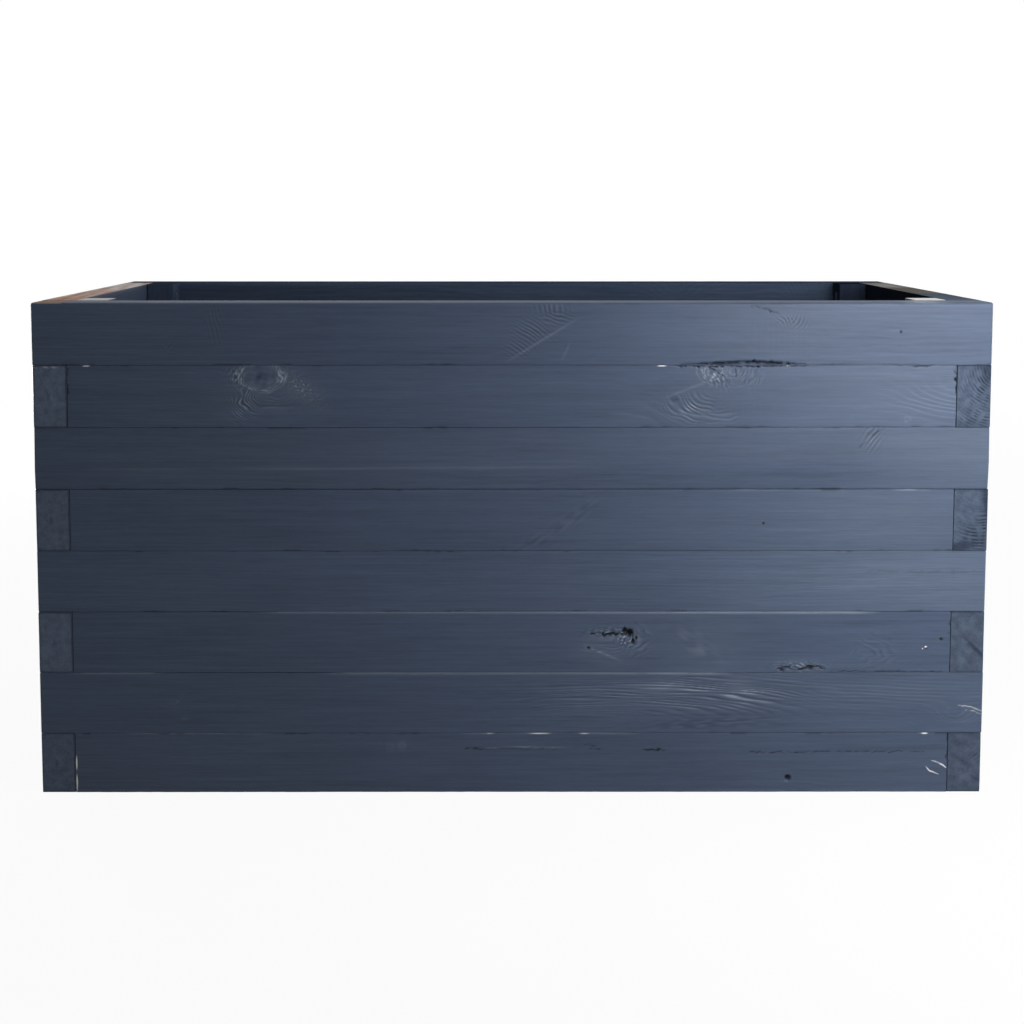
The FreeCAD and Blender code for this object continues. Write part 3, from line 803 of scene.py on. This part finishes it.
def jointed(number, passes):
    """How a board meets the others: it reaches down to the one below, and it butts or has eased corners."""
    return dict(bed=BED_FILL if number > 1 else 0.0, **(dict(ease=CORNER_EASE) if passes else dict(butt=BUTT_FILL)))


for number, marks in FRONT_MARKS.items():
    rim = number == RIM_COURSE
    front_wood = wood_from(100 + number, 1000, **{"knots": [], "swells": [], "figured": [], **marks},
                           **jointed(number, number % 2 == 0), **(RIM if rim else {}))
    front_board = planed_board(f"front_board_{number}", "front", front_wood,
                               FRONT_RIM_FINENESS if rim else FRONT_FINENESS)
    front_board.data.materials.append(paint)


# Back wall boards
# The same eight boards at the back, laid in the same bond and painted on both faces.
# Only the upper ones show from the front, over the rim and between the posts.

BACK_FINENESS = (5.4, 2.5, 22, 6, 13)
BACK_RIM_FINENESS = (5.4, 2.5, 22, 24, 13)
dull_paint = painted_wood("painted_wood_dull", 0.0)
for number in FRONT_MARKS:
    rim = number == RIM_COURSE
    back_wood = wood_from(200 + number, 1000, **jointed(number, number % 2 == 0), **(RIM if rim else {}))
    back_board = planed_board(f"back_board_{number}", "back", back_wood,
                              BACK_RIM_FINENESS if rim else BACK_FINENESS)
    back_board.data.materials.append(dull_paint)


# End wall boards
# Short boards of the same stock. In every second course their sawn ends come through to the front and the back,
# where the paint has sunk into the end grain; the left ends are painted lighter as painted light. The top pair is
# worn down to the wood along the rim, with pale streaks of painted glare, and the right one is painted dark inside
# as painted shade.

END_FINENESS = (4.0, 2.4, 20, 8, 13)
END_RIM_FINENESS = (4.0, 2.4, 20, 14, 13)
SAWN_END_FINENESS = (5.0, 1.1, 46, 28, 36)
END_INSET = {"left": 0.9, "right": 0.2}
LEFT_END_LIGHT = {7: 2.0, 5: 1.75, 3: 1.9, 1: 1.55}
SHOWN_END = {"left": 1, "right": -1}
# Rim tops: the left one worn to bare wood and the right one partly; the pale streaks on both are painted glare, the
# right top board's inner face is painted dark as painted shade, and its top is paler by top_rub.
RIM_WEAR_AND_LIGHT = {
    "left": dict(top_bare=0.95, weathered=0.0, top_painted_glare=[(-200, 20, 0.85), (-60, 130, 0.45)]),
    "right": dict(top_worn=[(-60, 200, 0.85)], weathered=1.0, top_rub=0.6, inner_shade=0.25,
                  top_painted_glare=[(40, 200, 0.5)]),
}
SAWN_ENDS = {
    7: dict(pith=(35, 20), spacing=3.2, end_figure=0.04, end_tone=1.36,
            end_figured=[((9, 12), (13, 22), 0.34), ((2, -24), (20, 9), 0.22)],
            end_stains=[((15, 27), (6, 10), 0, -0.9), ((14, 6), (5, 20), 0, -0.15), ((0, -29), (22, 4), 0, -0.25)]),
    5: dict(pith=(44, 14), spacing=3.6, end_figure=0.01, end_tone=1.36,
            end_figured=[((9, -18), (18, 14), 0.42), ((15, 4), (6, 18), 0.25)],
            end_stains=[((17, 20), (5, 16), 8, -0.8), ((-10, -28), (14, 5), 12, -0.7),
                        ((8, -16), (14, 12), 0, -0.2)]),
    3: dict(pith=(-46, -36), spacing=3.8, end_figure=-0.01, end_tone=1.25, end_figured=[((8, -10), (9, 12), 0.08)],
            end_stains=[((7, -6), (16, 1.8), -48, -0.42), ((12, -10), (10, 1.6), -42, -0.42),
                        ((-4, 15), (12, 3), 32, 0.25), ((-4, -17), (11, 3), 36, 0.22),
                        ((14, 26), (6, 4), 0, -0.12)]),
    1: dict(pith=(-34, 42), spacing=4.2, end_figure=-0.01, end_tone=1.25, end_figured=[((12, 6), (7, 8), 0.16)],
            end_stains=[((-2, 2), (22, 2.6), -34, -0.24), ((2, -13), (14, 3), 38, 0.25),
                        ((-8, 22), (12, 5), 0, -0.22),
                        ((10, -16), (12, 2), -30, -0.24)]),
}
LEFT_CHIPS = [((15, 31.4), (1.4, 0.7)), ((4, 31.4), (2.6, 0.6)), ((-5, 31.4), (3.0, 0.6))]
for side, seed in (("left", 300), ("right", 400)):
    for number in FRONT_MARKS:
        passes = number % 2 == 1
        end_wood = wood_from(seed + number, 400, end_inset=END_INSET[side], shown_end=SHOWN_END[side],
                             **jointed(number, passes))
        fineness = END_FINENESS
        if number == RIM_COURSE:
            end_wood.update(RIM_WEAR_AND_LIGHT[side])
            fineness = END_RIM_FINENESS
        if passes and side == "right":
            end_wood.update(SAWN_ENDS[number], fine_ends=1.0)
            fineness = SAWN_END_FINENESS
        elif passes:
            # the left sawn ends are painted lighter than the right ones: painted light
            end_wood.update(tone=1.0, end_tone=LEFT_END_LIGHT[number], end_figure=-0.04)
        if number == 1:
            end_wood["foot"] = -1
        if side == "left" and number == 7:
            end_wood["end_chips"] = LEFT_CHIPS
        end_board = planed_board(f"{side}_board_{number}", side, end_wood, fineness)
        end_board.data.materials.append(dull_paint if side == "right" else paint)


# Corner posts
# Square planed sticks that stand in the inner corners and hold the boards together from inside. Their sides
# are painted with the walls. The front pair was sawn off flush with the rim afterwards, so its tops are bare.

AXES["post"] = ((0, 0, 1), (1, 0, 0), (0, 1, 0))
POST_FINENESS = (6.0, 1.7, 18, 16, 9)
SHADED_TONE = 0.42
WAYS = {"front": -1, "back": 1, "left": -1, "right": 1}
HEAD_HOLE = 5.0  # radius of the dimple over a screw head
HEAD_SINK = 1.1
HEAD_REACH = 6.0  # points stand closer within this reach of a head
HEAD_STEP = 1.5


def screwed_stick(seed, length, dimples, **marks):
    """The wood of a planed stick with screw heads sunk into it, and points close together round each."""
    zones = [(place - HEAD_REACH, place + HEAD_REACH, HEAD_STEP) for place, *_ in dimples]
    return wood_from(seed, length, arris=1.3, edge=0.1, inset=0.1, lean=0.0, dimples=dimples, zones=zones, **marks)


post_screws = {}
for seed, (face, side) in enumerate([(f, e) for f in ("front", "back") for e in ("left", "right")], 500):
    node = f"corner_post_{face}_{side}"
    low, high = (np.array(corner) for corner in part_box(node))
    middle = (low + high) / 2
    dimples, driven = [], []
    for number in FRONT_MARKS:
        for wall, share, axis, normal in ((face, 0.25, 1, "no"), (side, 0.75, 0, "nu")):
            bottom, top = (corner[2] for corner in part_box(f"{wall}_board_{number}"))
            way = np.zeros(3)
            way[axis] = WAYS[wall]
            head = middle - way * (high - low) / 2
            head[2] = bottom + share * (top - bottom)
            dimples.append(((head[2] - middle[2]) / MM, 0.0, normal, -WAYS[wall], HEAD_HOLE, HEAD_SINK))
            driven.append((head, way))
    post_screws[f"post_screws_{face}_{side}"] = driven
    post_wood = screwed_stick(seed, 500, dimples, knots=[], swells=[], figured=[], cup=0.0)
    if face == "front":
        post_wood["end_bare"] = 1.0
    elif side == "right":
        # the back right post is painted darker: painted shade of the inner corner
        post_wood["tone"] = SHADED_TONE
    post = planed_board(node, "post", post_wood, POST_FINENESS)
    post.data.materials.append(paint if face == "front" else dull_paint)


# Floor bearers
# Two bare planed sticks screwed along the foot of the long walls. They carry the floor clear of wet ground.

def bare_wood():
    """Planed softwood without paint: the ring and fibre colours, a dull surface and the rings as low relief."""
    material, tree = new_material("bare_wood_planed")
    grain = reading(tree, "grain", "Vector")
    crest = graded(tree, maths(tree, "FRACT", reading(tree, "ring")), (0.0, 0), (0.5, 0.3), (0.8, 1), (1.0, 0))
    colour = wood_colour(tree, grain, crest, reading(tree, "weathered"), (0.50, 0.35, 0.20, 1),
                         (0.33, 0.20, 0.10, 1), (0.57, 0.44, 0.28, 1))
    colour = mixed(tree, maths(tree, "MULTIPLY", reading(tree, "end_grain"), 0.4), colour, (0.20, 0.11, 0.055, 1))
    # darker in cracks, pits and along joints: painted shade
    colour = mixed(tree, reading(tree, "crack_and_shade"), colour, (0.03, 0.018, 0.01, 1))
    fibre = grained(tree, grain, (40, 1600, 1600), 2)
    height = summed(tree, maths(tree, "MULTIPLY", crest, reading(tree, "figure")), (fibre, 0.03))
    surfaced(tree, colour, summed(tree, 0.58, (fibre, 0.2)), height, 0.3)
    return material


planed_wood = bare_wood()
BEARER_FINENESS = (6.0, 2.4, 18, 10, 8)
BEARER_SCREWS = 5
BEARER_SCREW_INSET = 0.060  # metres from an end
bearer_screws = []
for seed, face in enumerate(("front", "back"), 600):
    node = f"floor_bearer_{face}"
    low, high = (np.array(corner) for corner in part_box(node))
    middle = (low + high) / 2
    first = (high[0] - low[0]) / 2 - BEARER_SCREW_INSET
    way = np.array((0.0, WAYS[face], 0.0))
    dimples = []
    for place in np.linspace(-first, first, BEARER_SCREWS):
        head = np.array((place, middle[1] - way[1] * (high[1] - low[1]) / 2, low[2] + (high[2] - low[2]) / 4))
        bearer_screws.append((head, way))
        dimples.append((place / MM * AXES[face][0][0], (head[2] - middle[2]) / MM, "no", -1, HEAD_HOLE, HEAD_SINK))
    bearer_wood = screwed_stick(seed, 860, dimples, cup=0.0, weathered=0.15)
    bearer = planed_board(node, face, bearer_wood, BEARER_FINENESS)
    bearer.data.materials.append(planed_wood)


# Floor slats
# Nine bare boards lie across the bearers with drainage gaps between them, one screw at each end. The two at
# the ends are notched round the corner posts.

AXES["slat"] = ((0, 1, 0), (-1, 0, 0), (0, 0, 1))
SLAT_FINENESS = (6.0, 2.4, 14, 4, 7)
SLATS = 9
POST_CLEAR = 0.002  # metres between a notch and its post
slat_screws = []
post_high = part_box("corner_post_front_left")[1]
notch_start = -(post_high[1] + POST_CLEAR) / MM
bearer_y = np.mean([corner[1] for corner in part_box("floor_bearer_back")])
for number in range(1, SLATS + 1):
    node = f"floor_slat_{number}"
    low, high = (np.array(corner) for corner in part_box(node))
    seat_low = max(low[0], post_high[0] + POST_CLEAR)
    seat_high = min(high[0], -post_high[0] - POST_CLEAR)
    seat = (seat_low + seat_high) / 2
    off_middle = ((low[0] + high[0]) / 2 - seat) / MM
    dimples = []
    for y in (-bearer_y, bearer_y):
        slat_screws.append((np.array((seat, y, high[2])), np.array((0.0, 0.0, -1.0))))
        dimples.append((y / MM, off_middle, "no", 1, HEAD_HOLE, HEAD_SINK))
    slat_wood = screwed_stick(700 + number, 330, dimples, weathered=0.1)
    if number == 1:
        slat_wood["notch"] = (1, notch_start, (seat_low - low[0]) / MM)
    if number == SLATS:
        slat_wood["notch"] = (-1, notch_start, (high[0] - seat_high) / MM)
    slat = planed_board(node, "slat", slat_wood, SLAT_FINENESS)
    slat.data.materials.append(planed_wood)


# Screws
# Zinc-plated countersunk wood screws with a cross recess. They go through the posts into every board, through
# the bearers into the lowest boards and through the slats into the bearers, with their heads just below flush.

def zinc_plate():
    """Dull zinc with a yellowish cast in patches and fine scuffs, brushed over with the wall paint where the
    painted value is 1."""
    material, tree = new_material("zinc_plate")
    place = shader_node(tree, "ShaderNodeTexCoord", {}).outputs["Object"]
    patch = grained(tree, place, (260, 260, 260), 3)
    scuff = grained(tree, place, (2600, 2600, 2600), 2)
    colour = mixed(tree, patch, (0.50, 0.50, 0.47, 1), (0.60, 0.55, 0.42, 1))
    painted = maths(tree, "MULTIPLY", reading(tree, "painted"), graded(tree, scuff, (0.30, 0.94), (0.40, 1)))
    colour = mixed(tree, painted, colour, (0.042, 0.056, 0.088, 1))
    metal = maths(tree, "MULTIPLY", maths(tree, "SUBTRACT", 1.0, painted), 0.9)
    rough = summed(tree, 0.30, (scuff, 0.25))
    shader = surfaced(tree, colour, rough, scuff, 0.15, 0.3, 0.00005)
    tree.links.new(metal, shader.inputs["Metallic"])
    return material


SCREW_SIDES = 24
SCREW_RADII = (0.7, 1.3, 1.9, 2.5, 2.9, 4.3, 4.75, 4.75, 2.4, 2.4, 2.3, 1.2)
HEAD_DEPTHS = (0.30, 0.30, 0.30, 0.30, 0.30, 0.30, 0.40, 0.55, 2.9)
CROSS_HALF, CROSS_REACH, CROSS_DEPTH = 0.55, 2.6, 1.1


def screw_group(node, driven, length, head_paint):
    """Screws along their ways: a profile of radius and depth turned round the axis, with a cross pressed into
    the head where either distance from the middle lines is small, copied to every head's place."""
    radius = np.array(SCREW_RADII)
    sunk = np.array((*HEAD_DEPTHS, length - 8.0, length - 6.0, length - 2.0))
    turn = np.linspace(0, TURN, SCREW_SIDES, endpoint=False)
    x, y = radius[:, None] * np.cos(turn), radius[:, None] * np.sin(turn)
    z = sunk[:, None] + 0 * turn
    near, far = np.minimum(np.abs(x), np.abs(y)), np.maximum(np.abs(x), np.abs(y))
    z = z + CROSS_DEPTH * ((near < CROSS_HALF) & (far < CROSS_REACH) & (z < 0.35))
    one = np.stack([with_poles(x), with_poles(y), with_poles(z, 1.6, length)], axis=1)
    quads, fans = (faces[:, ::-1] for faces in closed_faces(*x.shape))
    heads = np.array([head for head, _ in driven])
    ways = np.array([way for _, way in driven])
    side_x = np.cross(ways, np.where(np.abs(ways[:, 2:]) > 0.5, (1.0, 0.0, 0.0), (0.0, 0.0, 1.0)))
    side_y = np.cross(ways, side_x)
    spin = np.random.default_rng(800).uniform(0, TURN, len(driven))[:, None]
    across = np.cos(spin) * side_x + np.sin(spin) * side_y
    along = np.cross(ways, across)
    turned = one[:, 0, None] * across[:, None] + one[:, 1, None] * along[:, None] + one[:, 2, None] * ways[:, None]
    points = (heads[:, None] + turned * MM).reshape(-1, 3)
    step = np.arange(len(driven))[:, None, None] * len(one)
    painted = np.tile(head_paint * (one[:, 2] < 2.0), len(driven)).astype(float)
    piece = wood_mesh("zinc_" + node, points, (quads + step).reshape(-1, 4), (fans + step).reshape(-1, 3),
                      {"painted": painted})
    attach(piece, "root")
    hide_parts(node)
    piece.data.materials.append(zinc)


zinc = zinc_plate()
WALL_SCREW_LENGTH = 60.0
SLAT_SCREW_LENGTH = 34.0
for node, driven in post_screws.items():
    screw_group(node, driven, WALL_SCREW_LENGTH, 1.0)
screw_group("bearer_screws", bearer_screws, WALL_SCREW_LENGTH, 0.0)
screw_group("slat_screws", slat_screws, SLAT_SCREW_LENGTH, 0.0)


# Floor, light and camera
# A pale floor in a white surround. One soft lamp stands close on the right like a window and one far off on
# the same side. The others, above, behind and beside the planter, light what these two leave dark.

def white_to_the_eye(tree):
    """1 where a camera, mirror or glass ray looks straight at it, and 0 for the light that it sheds."""
    path = shader_node(tree, "ShaderNodeLightPath", {}).outputs
    seen = maths(tree, "MAXIMUM", path["Is Camera Ray"], path["Is Glossy Ray"])
    return maths(tree, "MAXIMUM", seen, path["Is Transmission Ray"])


floor_mesh = bpy.data.meshes.new("pale_floor")
FLOOR_HALF = 9
floor_corners = [(x * FLOOR_HALF, y * FLOOR_HALF, 0) for x, y in ((-1, -1), (1, -1), (1, 1), (-1, 1))]
floor_mesh.from_pydata(floor_corners, [], [(0, 1, 2, 3)])
placed("pale_floor", floor_mesh)
floor_paint, tree = new_material("pale_floor")
tree.nodes.remove(tree.nodes["Principled BSDF"])
shade = shader_node(tree, "ShaderNodeBsdfDiffuse", {"Color": (0.66, 0.66, 0.66, 1)}).outputs[0]
glow = shader_node(tree, "ShaderNodeEmission", {"Color": (1, 1, 1, 1), "Strength": 1.0}).outputs[0]
place = shader_node(tree, "ShaderNodeTexCoord", {}).outputs["Object"]
far = shader_node(tree, "ShaderNodeVectorMath", {0: place}, operation="LENGTH").outputs["Value"]
fade = graded(tree, maths(tree, "DIVIDE", far, 6.0), (0.12, 0.94), (0.5, 1.0))
axis = shader_node(tree, "ShaderNodeSeparateXYZ", {0: place}).outputs
UNDER_WALLS = (0.482, 0.182)
beside = [maths(tree, "GREATER_THAN", maths(tree, "ABSOLUTE", axis[i]), UNDER_WALLS[i]) for i in (0, 1)]
fade = maths(tree, "MULTIPLY", fade, maths(tree, "MAXIMUM", *beside))
seen = maths(tree, "MULTIPLY", white_to_the_eye(tree), fade)
both = shader_node(tree, "ShaderNodeMixShader", {0: seen, 1: shade, 2: glow}).outputs[0]
tree.links.new(both, tree.nodes["Material Output"].inputs["Surface"])
floor_mesh.materials.append(floor_paint)

world = bpy.data.worlds.new("white_surround")
bpy.context.scene.world = world
world.use_nodes = True
tree = world.node_tree
light = tree.nodes["Background"]
light.inputs["Color"].default_value = (1, 1, 1, 1)
SURROUND_LIGHT = 0.10
seen = white_to_the_eye(tree)
strength = summed(tree, SURROUND_LIGHT, (seen, 1 - SURROUND_LIGHT))
tree.links.new(strength, light.inputs["Strength"])


def soft_lamp(name, place, target, size, power):
    """A square soft lamp at a place, aimed at a target."""
    data = bpy.data.lights.new(name, "AREA")
    data.size = size
    data.energy = power
    lamp = placed(name, data)
    away = np.array(place) - np.array(target)
    lamp.location = place
    lamp.rotation_euler = (np.arctan2(np.hypot(away[0], away[1]), away[2]), 0,
                           np.arctan2(away[1], away[0]) + np.pi / 2)
    lamp.visible_camera = False


soft_lamp("window_lamp", (0.64, -0.75, 0.70), (0.76, -0.2, 0.55), 0.65, 12)
soft_lamp("far_window_lamp", (3.0, -2.1, 1.2), (0.0, -0.2, 0.26), 1.2, 40)
soft_lamp("sky_lamp", (-0.42, -0.02, 1.55), (-0.42, 0.0, 0.5), 0.4, 3.2)
soft_lamp("back_lamp", (-2.1, 2.0, 0.28), (-0.1, 0.1, 0.24), 0.4, 100)
soft_lamp("side_lamp", (2.6, 0.6, 0.5), (0.5, 0.0, 0.25), 0.4, 42)

lens = bpy.data.cameras.new("view")
lens.sensor_width = 36
lens.lens = 45.66
lens.shift_x = 0.0248
lens.shift_y = -0.205
eye = placed("view", lens)
eye.location = (-0.0289, -1.5429, 0.6209)
eye.rotation_euler = (np.radians(90 - 4.127), 0, -0.0017)
bpy.context.scene.camera = eye
bpy.context.scene.view_settings.view_transform = "Standard"
